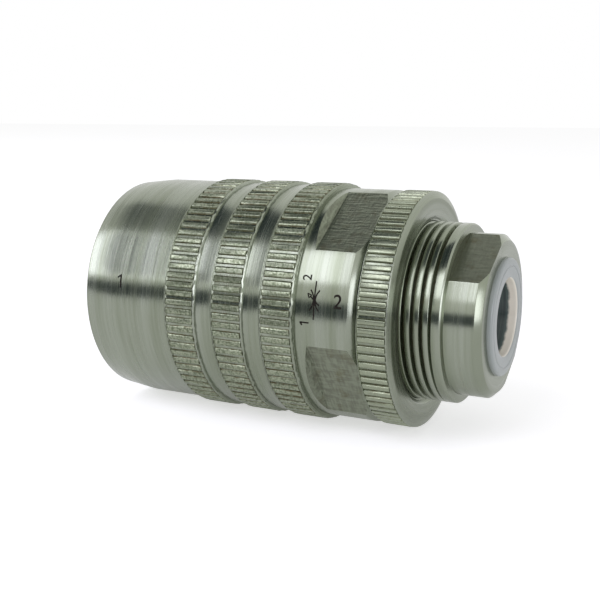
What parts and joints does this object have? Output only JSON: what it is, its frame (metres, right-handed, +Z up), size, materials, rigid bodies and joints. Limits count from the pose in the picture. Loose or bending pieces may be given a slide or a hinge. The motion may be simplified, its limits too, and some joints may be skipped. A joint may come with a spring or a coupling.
{
  "type": "flow control valve",
  "caption": "Barrel-shaped in-line throttle valve: knurled sleeve and lock ring screwed on a spindle body with a threaded port at each end, plug in one port.",
  "frame": {"origin": "on the flow axis, at the middle of the overall length with the plug in", "axes": "+X along the flow axis from port 1 to port 2, +Z up as the valve lies"},
  "size_m": [0.0708, 0.0414, 0.0414],
  "materials": {
    "zinc_steel_body": "turned, zinc plated",
    "zinc_steel_sleeve": "turned and knurled, zinc plated",
    "zinc_steel_ring": "knurled, zinc plated",
    "spring_steel": "phosphated",
    "nitrile": "matt",
    "ptfe": "matt",
    "polyurethane": "satin",
    "guide_resin": "matt",
    "clear_polyethylene": "translucent, satin"
  },
  "bodies": {
    "body": {"valve_body": "zinc_steel_body", "wiper_ring": "polyurethane", "guide_ring": "guide_resin", "o_ring_1": "nitrile", "backup_ring_1_outer": "ptfe", "backup_ring_1_inner": "ptfe", "o_ring_2": "nitrile", "backup_ring_2_inner": "ptfe", "backup_ring_2_outer": "ptfe"},
    "stop_washer": {"stop_tab_washer": "spring_steel"},
    "sleeve": {"adjusting_sleeve": "zinc_steel_sleeve", "stop_circlip": "spring_steel"},
    "lock_washer": {"lock_tab_washer": "spring_steel"},
    "lock_nut": {"lock_ring": "zinc_steel_ring"},
    "plug": {"port_2_plug": "clear_polyethylene"}
  },
  "joints": [
    {"name": "sleeve_travel", "type": "slide", "parent": "body", "child": "stop_washer", "axis": [-1, 0, 0], "range_m": [0, 0.0045]},
    {"name": "sleeve_turn", "type": "hinge", "parent": "stop_washer", "child": "sleeve", "pos_m": [0.0126, 0, 0], "axis": [-1, 0, 0], "range_deg": [0, 1080]},
    {"name": "lock_travel", "type": "slide", "parent": "body", "child": "lock_washer", "axis": [1, 0, 0], "range_m": [0, 0.006]},
    {"name": "lock_turn", "type": "hinge", "parent": "lock_washer", "child": "lock_nut", "pos_m": [0.0196, 0, 0], "axis": [1, 0, 0], "range_deg": [0, 1440]},
    {"name": "plug_pull", "type": "slide", "parent": "body", "child": "plug", "axis": [1, 0, 0], "range_m": [0, 0.05]}
  ],
  "couplings": [
    {"joint": "sleeve_travel", "follows": "sleeve_turn", "m_per_rad": 0.00023873},
    {"joint": "lock_travel", "follows": "lock_turn", "m_per_rad": 0.00023873}
  ]
}
